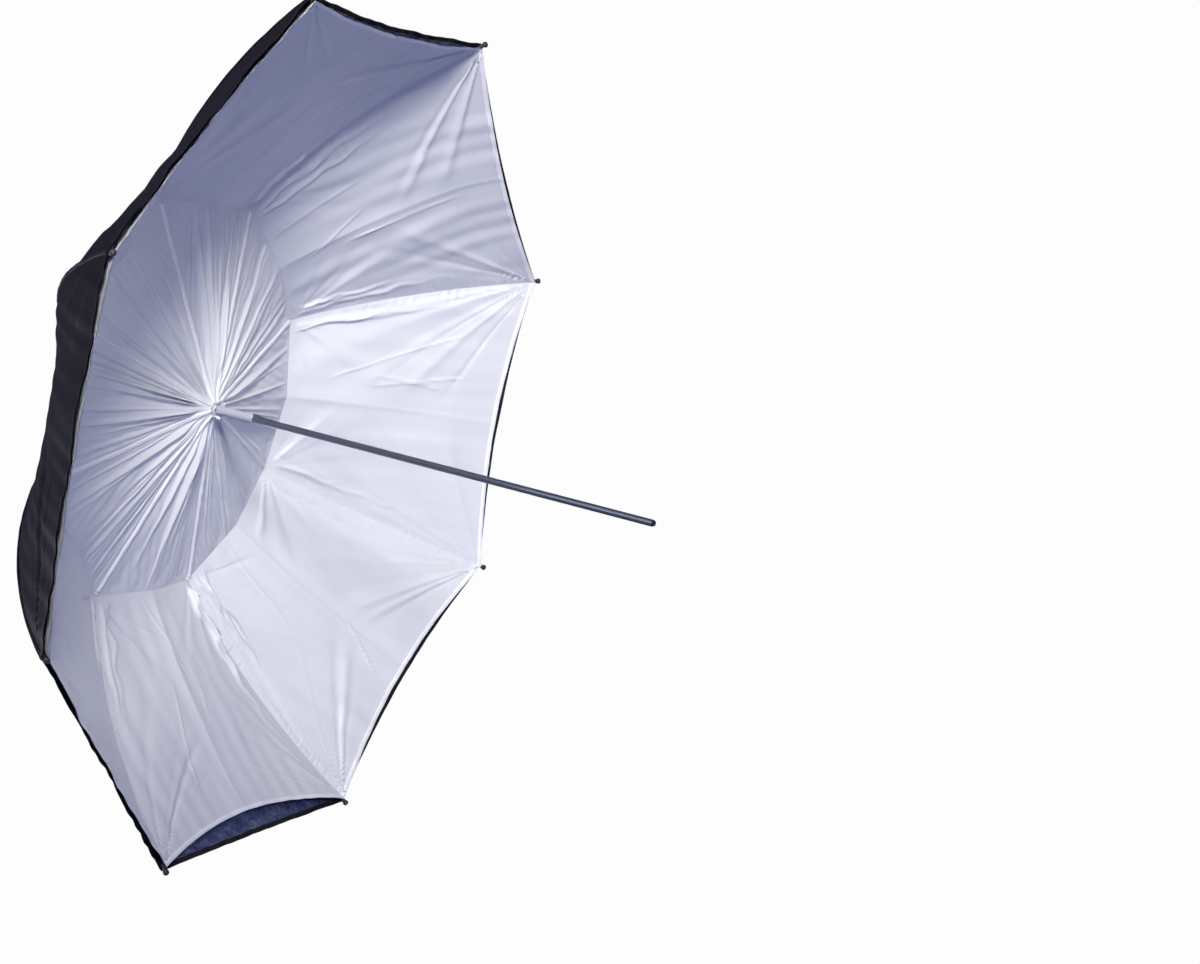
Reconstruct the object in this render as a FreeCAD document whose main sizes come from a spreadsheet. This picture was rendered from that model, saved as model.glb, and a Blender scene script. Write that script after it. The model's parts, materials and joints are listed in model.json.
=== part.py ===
import FreeCAD, Part
import math
import os

import Sketcher
from FreeCAD import Placement, Rotation, Vector

# Photographic umbrella: eight curved ribs hinged to a crown, eight stretchers between the ribs and a
# runner on the shaft, a white canopy on the inside of the frame and a removable black cover outside it.
# +Z runs along the shaft towards the crown; the origin is where a stand bracket clamps the shaft.
# Ribs and stretchers are drawn in the XZ plane, where rib 1 stands, and turned about the shaft.

SIZES = [
    # alias, value, what it is
    ("gores", 8, "number of ribs, stretchers and gores"),
    ("shaft_dia", 8, "outside diameter of the tubular shaft"),
    ("shaft_wall", 0.8, "wall of the shaft"),
    ("shaft_low", -322, "free end of the shaft"),
    ("groove_level", 159, "shallow ring groove below the catch, where the free stretch ends"),
    ("groove_deep", 0.3, "depth of that groove"),
    ("plug_shoulder", 0.5, "from the shaft's surface in to the end plug's"),
    ("runner_level", 255, "stretcher pivots in the runner"),
    ("joint_rise", 52, "stretcher joints above runner pivots, and crown pivots above joints"),
    ("joint_radius", 255, "shaft axis to the stretcher joints"),
    ("tip_radius", 519, "shaft axis to the ends of the ribs"),
    ("tip_level", 86, "ends of the ribs"),
    ("inner_arc", 470, "radius of the rib's curve between crown and stretcher joint"),
    ("pivot_radius", 11, "radius of the wire rings in crown and runner"),
    ("wire_dia", 1.2, "wire of both rings"),
    ("wire_play", 0.04, "play of the wire in its channel and of a rivet in its rib"),
    ("eye_hole", 1.34, "hole in an eye, around the wire"),
    ("eye_dia", 4.2, "eye at the inner end of a rib or stretcher"),
    ("eye_thick", 1.4, "thickness of an eye"),
    ("eye_neck", 4, "from the eye's centre to the channel"),
    ("rib_wide", 2.6, "width of a rib's channel"),
    ("rib_deep", 3.2, "depth of a rib's channel"),
    ("sheet_wall", 0.5, "sheet steel of ribs and stretchers"),
    ("fork_wide", 4.2, "width of a stretcher's channel"),
    ("fork_deep", 3.6, "depth of a stretcher's channel"),
    ("fork_mouth", 11, "length of the fork whose web is cut away for the rib"),
    ("rivet_dia", 1.6, "shank of a stretcher's rivet"),
    ("rivet_head", 3, "head of the rivet"),
    ("rivet_long", 5.4, "length of the rivet with its heads"),
    ("hub_dia", 28, "crown and runner heads"),
    ("hub_high", 8, "height of a slotted head"),
    ("rib_slot", 3.2, "slots of the crown"),
    ("fork_slot", 4.8, "slots of the runner"),
    ("slot_depth", 6.6, "how far a slot reaches in from the head's edge"),
    ("slot_floor", 2.6, "from the pivots to a slot's closed side"),
    ("crown_neck", 10, "length of the crown's sleeve under its head"),
    ("bore_dia", 8.1, "bore of the runner on the shaft"),
    ("neck_dia", 12.5, "runner's neck, where the canopy is tied"),
    ("neck_high", 9, "height of the neck"),
    ("grip_dia", 10.8, "runner's grip"),
    ("grip_high", 50, "height of the grip"),
    ("collar_dia", 16, "collar that ties the canopy to the neck"),
    ("collar_high", 5, "height of that collar"),
    ("catch_out", 6.4, "shaft axis to the catch's shoulder"),
    ("catch_wide", 2, "width of the catch's blade"),
    ("catch_long", 24, "length of the catch's blade"),
    ("tip_ball", 7, "ball of a rib tip"),
    ("tip_sleeve", 7, "sleeve of a rib tip on the rib"),
    ("cover_gap", 3, "rib's centre line to the inside of the cover"),
    ("cover_thick", 0.8, "black cover with its silver lining"),
    ("canopy_gap", 3, "rib's centre line to the outside of the canopy"),
    ("canopy_thick", 0.6, "white canopy"),
    ("valley_drop", 14, "sag of the canopy's crease between two stretcher joints"),
    ("canopy_hem_rise", 26, "how far the canopy's hem curves in between two tips"),
    ("cover_hem_rise", 12, "how far the cover's hem curves in between two tips"),
    ("hem_margin", 2, "from the rib's end back to the hems"),
    ("seam_gap", 1.4, "from a stretcher joint to the edge of a canopy panel"),
    ("cover_start", 17, "inner edge of the cover, under its patch"),
    ("cone_start", 16, "inner edge of the canopy's cone, beside the runner"),
    ("patch_dia", 52, "patch over the cover's centre"),
    ("cap_high", 20, "crown cap above the crown"),
]
ALIASES = {alias for alias, _, _ in SIZES}

doc = FreeCAD.newDocument("PhotoUmbrella")
sheet = doc.addObject("Spreadsheet::Sheet", "Sizes")
for row, (alias, amount, meaning) in enumerate(SIZES, start=1):
    sheet.set(f"A{row}", meaning)
    sheet.set(f"B{row}", str(amount))
    sheet.setAlias(f"B{row}", alias)
doc.recompute()

subparts = []


def size(alias):
    """A cell of the sheet, as a number."""
    return float(getattr(sheet, alias))


def on_sheet(formula):
    """A formula whose words such as shaft_dia stand for cells, as FreeCAD reads it."""
    words = formula.replace("(", "( ").replace(")", " )").split()
    return " ".join("Sizes." + word if word in ALIASES else word for word in words)


def value(formula):
    """A formula's present value, which gives a sketch or a curve its shape."""
    return float(sheet.evalExpression(on_sheet(formula).replace("Sizes.", "")))


def keep(item, node):
    """Marks a finished object as the sub-part that is written to parts/NODE.step."""
    item.Label = node
    subparts.append(item)
    return item


def primitive(kind, name, level="0", **formulas):
    """A Part primitive whose sizes and height above the origin follow the sheet."""
    item = doc.addObject("Part::" + kind, name)
    for path, formula in formulas.items():
        item.setExpression(path, on_sheet(formula))
    item.setExpression("Placement.Base.z", on_sheet(level))
    return item


def cut(name, base, tool):
    item = doc.addObject("Part::Cut", name)
    item.Base, item.Tool = base, tool
    return item


def fuse(name, *shapes):
    item = doc.addObject("Part::MultiFuse", name)
    item.Shapes = list(shapes)
    return item


def around(number):
    """Turns what is drawn at rib 1 to the rib of that number."""
    step = 360 / size("gores")
    return Placement(Vector(), Rotation(Vector(0, 0, 1), step * (number - 1)))


def outline_sketch(owner, name):
    """A sketch on a body's own XZ plane."""
    sketch = owner.newObject("Sketcher::SketchObject", name)
    plane = [f for f in owner.Origin.OriginFeatures if f.Role == "XZ_Plane"][0]
    sketch.AttachmentSupport = [(plane, "")]
    sketch.MapMode = "FlatFace"
    return sketch


def polygon(sketch, corners):
    """A closed outline whose corners are pairs of formulas on the sheet."""
    at = [Vector(value(x), value(y), 0) for x, y in corners]
    count = len(at)
    for i in range(count):
        sketch.addGeometry(Part.LineSegment(at[i], at[(i + 1) % count]))
    for i in range(count):
        sketch.addConstraint(Sketcher.Constraint("Coincident", i, 2, (i + 1) % count, 1))
    for i, (x, y) in enumerate(corners):
        for kind, formula, distance in (("DistanceX", x, at[i].x), ("DistanceY", y, at[i].y)):
            constraint = Sketcher.Constraint(kind, -1, 1, i, 1, distance)
            number = sketch.addConstraint(constraint)
            sketch.setExpression(f"Constraints[{number}]", on_sheet(formula))
    return sketch


def turned_body(name, corners):
    """A body revolved about the shaft's axis from an outline of (radius, level) corners."""
    owner = doc.addObject("PartDesign::Body", name)
    outline = polygon(outline_sketch(owner, name + "Outline"), corners)
    solid = owner.newObject("PartDesign::Revolution", name + "Turned")
    solid.Profile = outline
    solid.ReferenceAxis = (outline, ["V_Axis"])
    solid.Angle = 360
    return owner, outline


def slotted_head(name, corners, slot_wide, slot_low, slot_high):
    """A turned hub with one radial slot for each rib, cut by a polar pattern."""
    owner, outline = turned_body(name, corners)
    inside, outside = "hub_dia / 2 - slot_depth", "hub_dia / 2 + 2"
    slot = [(inside, slot_low), (outside, slot_low), (outside, slot_high), (inside, slot_high)]
    doc.recompute()
    cutter = owner.newObject("PartDesign::Pocket", name + "SlotCut")
    cutter.Profile = polygon(outline_sketch(owner, name + "Slot"), slot)
    cutter.Midplane = True
    cutter.setExpression("Length", on_sheet(slot_wide))
    pattern = owner.newObject("PartDesign::PolarPattern", name + "Slots")
    pattern.Originals = [cutter]
    pattern.Axis = (outline, ["V_Axis"])
    pattern.Angle = 360
    pattern.setExpression("Occurrences", "Sizes.gores")
    owner.Tip = pattern
    return owner


# ---- the rib's curve -------------------------------------------------------------------------------

CROWN_LEVEL = "runner_level + 2 * joint_rise"
JOINT_LEVEL = "runner_level + joint_rise"
HEAD_TOP = CROWN_LEVEL + " + hub_high / 2"

crown_pivot = Vector(size("pivot_radius"), 0, value(CROWN_LEVEL))
joint_pivot = Vector(size("joint_radius"), 0, value(JOINT_LEVEL))
runner_pivot = Vector(size("pivot_radius"), 0, size("runner_level"))
rib_end = Vector(size("tip_radius"), 0, size("tip_level"))

# two arcs that bulge upwards and share a tangent at the stretcher joint
INNER_ARC = size("inner_arc")
inner_chord = joint_pivot - crown_pivot
towards_centre = Vector(inner_chord.z, 0, -inner_chord.x).normalize()
depth = math.sqrt(INNER_ARC**2 - (inner_chord.Length / 2) ** 2)
inner_centre = (crown_pivot + joint_pivot) / 2 + towards_centre * depth
inwards = (inner_centre - joint_pivot).normalize()
outer_chord = rib_end - joint_pivot
OUTER_ARC = outer_chord.Length**2 / (2 * outer_chord.dot(inwards))
outer_centre = joint_pivot + inwards * OUTER_ARC


def inner_point(offset, radius):
    """Point of the rib's inner arc, or outside it by an offset, at a distance from the shaft."""
    run = radius - inner_centre.x
    foot = Vector(run, 0, math.sqrt(INNER_ARC**2 - run**2))
    return inner_centre + foot * ((INNER_ARC + offset) / INNER_ARC)


def outer_point(offset, share, trim=0.0):
    """Point of the outer arc from its joint (share 0) to its end (share 1), less a length trimmed off."""
    first = math.atan2(joint_pivot.z - outer_centre.z, joint_pivot.x - outer_centre.x)
    last = math.atan2(rib_end.z - outer_centre.z, rib_end.x - outer_centre.x) + trim / OUTER_ARC
    angle = first + (last - first) * share
    return outer_centre + Vector(math.cos(angle), 0, math.sin(angle)) * (OUTER_ARC + offset)


def curve(points):
    """An edge through two points, or an arc through three."""
    if len(points) == 2:
        return Part.LineSegment(*points).toShape()
    return Part.Arc(*points).toShape()


def wire_feature(name, runs):
    """A closed or open wire of lines and arcs, each run starting where the last one ended."""
    item = doc.addObject("Part::Feature", name)
    item.Shape = Part.Wire([curve(points) for points in runs])
    return item


# ---- root: shaft, crown and what stays on them -------------------------------------------------------


def make_shaft():
    long = HEAD_TOP + " - shaft_low"
    bore = "shaft_dia / 2 - shaft_wall"
    tube = primitive("Cylinder", "ShaftTube", "shaft_low", Radius="shaft_dia / 2", Height=long)
    hollow = primitive("Cylinder", "ShaftBore", "shaft_low - 1", Radius=bore, Height=long + " + 2")
    slot_low = "runner_level - hub_high / 2 - neck_high - grip_high - catch_long - 3"
    slot = primitive(
        "Box", "CatchSlot", slot_low, Length="shaft_dia", Width="catch_wide + 0.6", Height="catch_long + 6"
    )
    slot.setExpression("Placement.Base.y", on_sheet("0 - catch_wide / 2 - 0.3"))
    around_groove = primitive("Cylinder", "GrooveOutside", "groove_level", Radius="shaft_dia", Height="1.5")
    left_whole = primitive(
        "Cylinder", "GrooveCore", "groove_level", Radius="shaft_dia / 2 - groove_deep", Height="1.5"
    )
    groove = cut("ShaftGroove", around_groove, left_whole)
    keep(cut("Shaft", tube, fuse("ShaftHollows", hollow, slot, groove)), "shaft")


def make_end_plug():
    """Rounded plug in the shaft's free end, a little narrower than the shaft."""
    bore = "shaft_dia / 2 - shaft_wall"
    owner, _ = turned_body(
        "EndPlug",
        [
            ("0", "shaft_low - 3"),
            ("shaft_dia / 2 - plug_shoulder - 1.3", "shaft_low - 3"),
            ("shaft_dia / 2 - plug_shoulder", "shaft_low - 1.7"),
            ("shaft_dia / 2 - plug_shoulder", "shaft_low"),
            (bore, "shaft_low"),
            (bore, "shaft_low + 12"),
            ("0", "shaft_low + 12"),
        ],
    )
    keep(owner, "end_plug")


def wire_and_channel(name, level, node):
    """A wire ring that the eyes turn on, and the slightly larger ring that clears its channel."""
    ring = primitive("Torus", name, level, Radius1="pivot_radius", Radius2="wire_dia / 2")
    keep(ring, node)
    clear = "wire_dia / 2 + wire_play"
    return primitive("Torus", name + "Channel", level, Radius1="pivot_radius", Radius2=clear)


def make_crown():
    low = CROWN_LEVEL + " - hub_high / 2"
    sleeve = "shaft_dia / 2 + wire_play"
    corners = [
        (sleeve, low + " - crown_neck"),
        ("shaft_dia / 2 + 2.5", low + " - crown_neck"),
        ("shaft_dia / 2 + 2.5", low),
        ("hub_dia / 2", low),
        ("hub_dia / 2", HEAD_TOP),
        (sleeve, HEAD_TOP),
    ]
    slot_top = CROWN_LEVEL + " + slot_floor"
    head = slotted_head("CrownHead", corners, "rib_slot", low + " - 1", slot_top)
    channel = wire_and_channel("CrownWire", CROWN_LEVEL, "crown_wire")
    keep(cut("Crown", head, channel), "crown")


def make_crown_cap():
    """Cap that closes the crown and stands out through the cover's centre."""
    owner, _ = turned_body(
        "CrownCap",
        [
            ("0", HEAD_TOP),
            ("hub_dia / 2 - 1", HEAD_TOP),
            ("hub_dia / 2 - 1", HEAD_TOP + " + 2.5"),
            ("hub_dia / 4", HEAD_TOP + " + 5"),
            ("hub_dia / 4 - 1.2", HEAD_TOP + " + cap_high - 3"),
            ("hub_dia / 4 - 3.2", HEAD_TOP + " + cap_high"),
            ("0", HEAD_TOP + " + cap_high"),
        ],
    )
    keep(owner, "crown_cap")


def make_cover_patch():
    """Reinforcing disc on the cover's centre, around the cap."""
    level = CROWN_LEVEL + " + cover_gap + cover_thick + 1.2"
    hole = "hub_dia / 2 - 0.8"
    disc = primitive("Cylinder", "PatchDisc", level, Radius="patch_dia / 2", Height="1")
    opening = primitive("Cylinder", "PatchHole", level + " - 1", Radius=hole, Height="3")
    keep(cut("CoverPatch", disc, opening), "cover_patch")


# ---- runner and catch --------------------------------------------------------------------------------

NECK_LOW = "runner_level - hub_high / 2 - neck_high"
GRIP_LOW = NECK_LOW + " - grip_high"


def make_runner():
    low = "runner_level - hub_high / 2"
    high = "runner_level + hub_high / 2"
    corners = [
        ("bore_dia / 2", GRIP_LOW),
        ("grip_dia / 2 - 1", GRIP_LOW),
        ("grip_dia / 2", GRIP_LOW + " + 1"),
        ("grip_dia / 2", NECK_LOW + " - 3"),
        ("neck_dia / 2", NECK_LOW),
        ("neck_dia / 2", low),
        ("hub_dia / 2", low),
        ("hub_dia / 2", high),
        ("bore_dia / 2", high),
    ]
    slot_low = "runner_level - slot_floor"
    head = slotted_head("RunnerHead", corners, "fork_slot", slot_low, high + " + 1")
    channel = wire_and_channel("RunnerWire", "runner_level", "runner_wire")
    keep(cut("Runner", head, channel), "runner")


def make_hub_collar():
    """Collar that ties the canopy's gathered centre to the runner's neck."""
    level = NECK_LOW + " + neck_high / 2 - collar_high / 2"
    hole = "neck_dia / 2 + wire_play"
    ring = primitive("Cylinder", "CollarRing", level, Radius="collar_dia / 2", Height="collar_high")
    bore = primitive("Cylinder", "CollarBore", level + " - 1", Radius=hole, Height="collar_high + 2")
    keep(cut("HubCollar", ring, bore), "hub_collar")


def make_catch():
    """Sprung blade in the shaft's slot, whose shoulder holds the open runner up."""
    top = GRIP_LOW + " - 0.3"
    owner = doc.addObject("PartDesign::Body", "CatchSpring")
    corners = [
        ("0.6", top + " - catch_long"),
        ("2.4", top + " - catch_long"),
        ("catch_out", top + " - catch_long / 4"),
        ("catch_out", top),
        ("2.2", top),
        ("2.2", top + " - catch_long / 5"),
    ]
    blade = owner.newObject("PartDesign::Pad", "CatchBlade")
    blade.Profile = polygon(outline_sketch(owner, "CatchOutline"), corners)
    blade.Midplane = True
    blade.setExpression("Length", on_sheet("catch_wide"))
    keep(owner, "catch_spring")


# ---- ribs, tips and stretchers -----------------------------------------------------------------------


def cross_pin(name, at, dia, long):
    """A cylinder across the rib's plane, centred on a point of it."""
    pin = doc.addObject("Part::Cylinder", name)
    pin.setExpression("Radius", on_sheet(dia + " / 2"))
    pin.setExpression("Height", on_sheet(long))
    middle = Placement(Vector(0, 0, -value(long) / 2), Rotation())
    pin.Placement = Placement(at, Rotation(Vector(1, 0, 0), 90)) * middle
    return pin


def bar(name, start, direction, long, wide, high):
    """A bar in the rib's plane, from a point along a direction, centred on that line."""
    box = doc.addObject("Part::Box", name)
    for side, formula in (("Length", long), ("Width", wide), ("Height", high)):
        box.setExpression(side, on_sheet(formula))
    centred = Placement(Vector(0, -value(wide) / 2, -value(high) / 2), Rotation())
    box.Placement = frame_along(start, direction) * centred
    return box


def frame_along(start, direction):
    """Local X along a direction of the rib's plane, and local Y square to that plane."""
    up = direction.cross(Vector(0, 1, 0))
    return Placement(start, Rotation(direction, Vector(0, 1, 0), up, "XYZ"))


def eye_and_neck(name, pivot, direction, deep):
    """An eye around the ring's wire, and the neck that joins it to a channel of that depth."""
    eye = cross_pin(name + "Eye", pivot, "eye_dia", "eye_thick")
    neck = bar(name + "Neck", pivot, direction, "eye_neck + 2", "eye_thick", deep)
    return eye, neck


def make_ribs():
    """A channel swept along two arcs, its web outwards, with an eye and a hole for the rivet."""
    start = inner_point(0, size("pivot_radius") + size("eye_neck"))
    middle = inner_point(0, (start.x + joint_pivot.x) / 2)
    spine = wire_feature(
        "RibCurve",
        [
            (start, middle, joint_pivot),
            (joint_pivot, outer_point(0, 0.5), rib_end),
        ],
    )
    along = spine.Shape.Edges[0].tangentAt(spine.Shape.Edges[0].FirstParameter)
    section = doc.addObject("Sketcher::SketchObject", "RibSection")
    side, wall = "rib_wide / 2", "rib_wide / 2 - sheet_wall"
    top, under = "rib_deep / 2", "rib_deep / 2 - sheet_wall"
    polygon(
        section,
        [
            (side, "0 - " + top),
            (side, top),
            ("0 - " + side, top),
            ("0 - " + side, "0 - " + top),
            ("0 - rib_wide / 2 + sheet_wall", "0 - " + top),
            ("0 - rib_wide / 2 + sheet_wall", under),
            (wall, under),
            (wall, "0 - " + top),
        ],
    )
    # the sketch's X lies across the rib and its Y outwards, so that the channel opens inwards
    outwards = along.cross(Vector(0, 1, 0))
    section.Placement = Placement(start, Rotation(Vector(0, -1, 0), outwards, along, "ZXY"))
    channel = doc.addObject("Part::Sweep", "RibChannel")
    channel.Sections = [section]
    channel.Spine = (spine, ["Edge1", "Edge2"])
    channel.Solid = True
    solid = fuse("RibSolid", channel, *eye_and_neck("Rib", crown_pivot, start - crown_pivot, "rib_deep"))
    wire_hole = cross_pin("RibWireHole", crown_pivot, "eye_hole", "rib_slot")
    rivet_hole = cross_pin("RibRivetHole", joint_pivot, "( rivet_dia + 2 * wire_play )", "rib_slot")
    holes = fuse("RibHoles", wire_hole, rivet_hole)
    for number in range(1, int(size("gores")) + 1):
        rib = cut(f"Rib{number}", solid, holes)
        rib.Placement = around(number)
        keep(rib, f"rib_{number}")


def make_rib_tips():
    """A ball with a sleeve on the rib's end."""
    profile = doc.addObject("Sketcher::SketchObject", "TipProfile")
    sleeve_bore = "rib_deep / 2 + 0.6"
    polygon(
        profile,
        [
            (sleeve_bore, "0 - tip_sleeve"),
            (sleeve_bore + " + 0.4", "0 - tip_sleeve"),
            (sleeve_bore + " + 0.4", "0"),
            ("tip_ball / 2 - 1", "tip_ball / 2 - 3"),
            ("tip_ball / 2", "tip_ball / 2 - 1.5"),
            ("tip_ball / 2", "tip_ball / 2 + 1"),
            ("tip_ball / 2 - 1.2", "tip_ball - 1"),
            ("0", "tip_ball - 0.4"),
            ("0", "0.1"),
            (sleeve_bore, "0.1"),
        ],
    )
    profile.Placement = Placement(Vector(), Rotation(Vector(1, 0, 0), 90))
    outwards = (rib_end - outer_centre).normalize()
    along = Vector(0, 1, 0).cross(outwards)
    at_end = Placement(rib_end, Rotation(Vector(0, 0, 1), along))
    for number in range(1, int(size("gores")) + 1):
        tip = doc.addObject("Part::Revolution", f"RibTip{number}")
        tip.Source = profile
        tip.Axis = Vector(0, 0, 1)
        tip.Angle = 360
        tip.Solid = True
        tip.Placement = around(number) * at_end
        keep(tip, f"rib_tip_{number}")


def make_stretchers():
    """A straight channel that opens towards the handle, with a fork and rivet around its rib."""
    span = joint_pivot - runner_pivot
    along = span / span.Length
    up = along.cross(Vector(0, 1, 0))
    long = f"{span.Length:.6f} - eye_neck + rivet_dia"
    start = runner_pivot + along * size("eye_neck")
    outside = bar("ForkBar", start, along, long, "fork_wide", "fork_deep")
    gap_start = start - up * size("sheet_wall") - along
    inside_wide = "fork_wide - 2 * sheet_wall"
    gap = bar("ForkGap", gap_start, along, long + " + 2", inside_wide, "fork_deep")
    mouth_start = joint_pivot - along * size("fork_mouth")
    mouth = bar("ForkMouth", mouth_start, along, "2 * fork_mouth", inside_wide, "2 * fork_deep")
    channel = cut("ForkChannel", outside, fuse("ForkHollows", gap, mouth))
    wire_hole = cross_pin("ForkWireHole", runner_pivot, "eye_hole", "fork_slot")
    rivet_hole = cross_pin("ForkRivetHole", joint_pivot, "( rivet_dia + 2 * wire_play )", "2 * fork_wide")
    solid = fuse("ForkSolid", channel, *eye_and_neck("Fork", runner_pivot, along, "fork_deep"))
    arm = cut("ForkArm", solid, fuse("ForkHoles", wire_hole, rivet_hole))
    shank = cross_pin("RivetShank", joint_pivot, "rivet_dia", "rivet_long")
    heads = cross_pin("RivetHeads", joint_pivot, "rivet_head", "rivet_long")
    between = cross_pin("RivetBetween", joint_pivot, "( 2 * rivet_head )", "fork_wide + wire_play")
    rivet = fuse("Rivet", shank, cut("RivetCaps", heads, between))
    for number in range(1, int(size("gores")) + 1):
        stretcher = fuse(f"Stretcher{number}", arm, rivet)
        stretcher.Placement = around(number)
        keep(stretcher, f"stretcher_{number}")


# ---- cloth -------------------------------------------------------------------------------------------


def band(inside, outside):
    """Runs of a closed outline between two curves that are given as lists of runs."""
    back = [tuple(reversed(points)) for points in reversed(inside)]
    close_end = (outside[-1][-1], inside[-1][-1])
    close_start = (inside[0][0], outside[0][0])
    return [*outside, close_end, *back, close_start]


def between_ribs(point, drop=0.0):
    """Where a point of the rib's curve comes to on the straight line between two ribs' planes."""
    narrow = math.cos(math.pi / size("gores"))
    return Vector(point.x * narrow, 0, point.z - drop)


def cover_runs(offset, trim, place=lambda point, share: point):
    """The cover's curve from its patch to its hem, each point moved by a function of its share."""
    start = size("cover_start")
    middle = (start + joint_pivot.x) / 2
    inner = [inner_point(offset, r) for r in (start, middle)] + [outer_point(offset, 0)]
    outer = [outer_point(offset, share, trim) for share in (0, 0.5, 1)]
    return [tuple(place(p, 0) for p in inner), tuple(place(p, s) for p, s in zip(outer, (0, 0.5, 1)))]


def canopy_runs(offset, trim, place=lambda point, share: point):
    """The canopy's curve from a stretcher joint to its hem."""
    shares = (size("seam_gap") / outer_chord.Length, 0.5, 1)
    return [tuple(place(outer_point(offset, share, trim), share) for share in shares)]


def cone_runs(offset, drop=0.0, narrow=1.0):
    """The canopy's straight run along a stretcher, from beside the runner to the joint."""
    along = (joint_pivot - runner_pivot).normalize()
    up = along.cross(Vector(0, 1, 0))
    first = runner_pivot + along * (size("cone_start") - runner_pivot.x) + up * offset
    last = joint_pivot - along * size("seam_gap") + up * offset
    ends = [Vector(first.x * narrow, 0, first.z), Vector(last.x * narrow, 0, last.z - drop)]
    return [tuple(ends)]


def panel_sections(name, at_rib, between):
    """The panel's outline in the planes half way to the ribs on each side, and at its own rib."""
    half = 180 / size("gores")
    sections = []
    for word, angle, runs in (("Left", -half, between), ("Rib", 0, at_rib), ("Right", half, between)):
        section = wire_feature(name + word, runs)
        section.Placement = Placement(Vector(), Rotation(Vector(0, 0, 1), angle))
        sections.append(section)
    return sections


def make_panels(name, node, sections):
    """One closed sheet of cloth for each rib, ruled between its three sections."""
    for number in range(1, int(size("gores")) + 1):
        panel = doc.addObject("Part::Loft", f"{name}{number}")
        panel.Sections = sections
        panel.Solid = True
        panel.Ruled = True
        panel.Placement = around(number)
        keep(panel, f"{node}_{number}")


def make_cover():
    """Black cover over the ribs, from the patch to the hem."""
    low = size("cover_gap")
    high = low + size("cover_thick")
    margin, rise = size("hem_margin"), size("cover_hem_rise")
    at_rib = band(cover_runs(low, margin), cover_runs(high, margin))
    between = band(
        cover_runs(low, margin + rise, lambda point, share: between_ribs(point)),
        cover_runs(high, margin + rise, lambda point, share: between_ribs(point)),
    )
    make_panels("CoverPanel", "cover_panel", panel_sections("CoverSection", at_rib, between))


def make_canopy():
    """White canopy under the ribs, from the stretcher joints to the hem."""
    high = -size("canopy_gap")
    low = high - size("canopy_thick")
    margin, rise = size("hem_margin"), size("canopy_hem_rise")

    def sag(point, share):
        return between_ribs(point, size("valley_drop") * (1 - share) ** 2)

    at_rib = band(canopy_runs(low, margin), canopy_runs(high, margin))
    between = band(canopy_runs(low, margin + rise, sag), canopy_runs(high, margin + rise, sag))
    make_panels("CanopyPanel", "canopy_panel", panel_sections("CanopySection", at_rib, between))


def make_cones():
    """White canopy along the stretchers, from the runner to the joints."""
    high = -size("canopy_gap")
    low = high - size("canopy_thick")
    narrow = math.cos(math.pi / size("gores"))
    drop = size("valley_drop")
    at_rib = band(cone_runs(low), cone_runs(high))
    between = band(cone_runs(low, drop, narrow), cone_runs(high, drop, narrow))
    make_panels("CanopyCone", "canopy_cone", panel_sections("ConeSection", at_rib, between))


# ---- build, check and write --------------------------------------------------------------------------

make_shaft()
make_end_plug()
make_crown()
make_crown_cap()
make_cover_patch()
make_runner()
make_hub_collar()
make_catch()
make_ribs()
make_rib_tips()
make_stretchers()
make_cover()
make_canopy()
make_cones()
doc.recompute()

for item in doc.Objects:
    if "Invalid" in item.State or "Error" in item.State:
        raise RuntimeError(f"{item.Name} failed: {item.State}")
for item in subparts:
    if item.Shape.isNull() or not item.Shape.isValid() or not item.Shape.Solids:
        raise RuntimeError(f"{item.Label} is not a valid solid")

os.makedirs("parts", exist_ok=True)
for item in subparts:
    item.Shape.exportStep(f"parts/{item.Label}.step")
    print(f"{item.Label}: {len(item.Shape.Solids)} solid, {item.Shape.Volume:.1f} mm3")
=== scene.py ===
import json
import math

import bmesh
import bpy
import numpy as np
from mathutils import Matrix, Vector


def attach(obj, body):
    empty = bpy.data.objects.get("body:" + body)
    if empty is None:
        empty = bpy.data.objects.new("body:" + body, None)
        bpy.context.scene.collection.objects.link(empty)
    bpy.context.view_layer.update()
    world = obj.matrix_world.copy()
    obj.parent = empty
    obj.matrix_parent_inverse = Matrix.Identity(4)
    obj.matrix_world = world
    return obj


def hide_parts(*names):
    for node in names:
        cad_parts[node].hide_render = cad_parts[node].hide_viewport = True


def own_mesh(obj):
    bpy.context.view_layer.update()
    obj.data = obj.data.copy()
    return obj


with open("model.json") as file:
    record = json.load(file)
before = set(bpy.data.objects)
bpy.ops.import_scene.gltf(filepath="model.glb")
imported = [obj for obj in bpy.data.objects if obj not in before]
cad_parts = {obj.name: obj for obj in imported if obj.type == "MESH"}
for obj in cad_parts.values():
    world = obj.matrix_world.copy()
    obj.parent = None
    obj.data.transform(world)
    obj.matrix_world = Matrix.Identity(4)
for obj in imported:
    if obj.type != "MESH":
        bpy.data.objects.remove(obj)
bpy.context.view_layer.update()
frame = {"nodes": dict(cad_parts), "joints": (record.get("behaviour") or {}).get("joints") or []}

# A convertible studio umbrella, open. The white satin canopy lines the inside of the frame: it
# runs from the runner along the stretchers to their joints, and on under the ribs to the tips. A black
# cover with a silver lining lies over the ribs. Lengths are in metres, and +Z is the shaft, towards the
# crown.

RIBS = 8
TURN = 2 * math.pi / RIBS
HALF = TURN / 2
JOINTS = {joint["name"]: joint for joint in frame["joints"]}
FOLD = "rib_1_fold"
FOLD_ANGLE = math.radians(JOINTS[FOLD]["range_deg"][1])


# ---- the rib's plane: a complex number is a place in it, radius + height * 1j -------------------------


def in_plane(joint):
    """A joint's place in the plane of rib 1, which is the XZ plane."""
    x, _, z = JOINTS[joint]["pos_m"]
    return complex(x, z)


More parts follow.
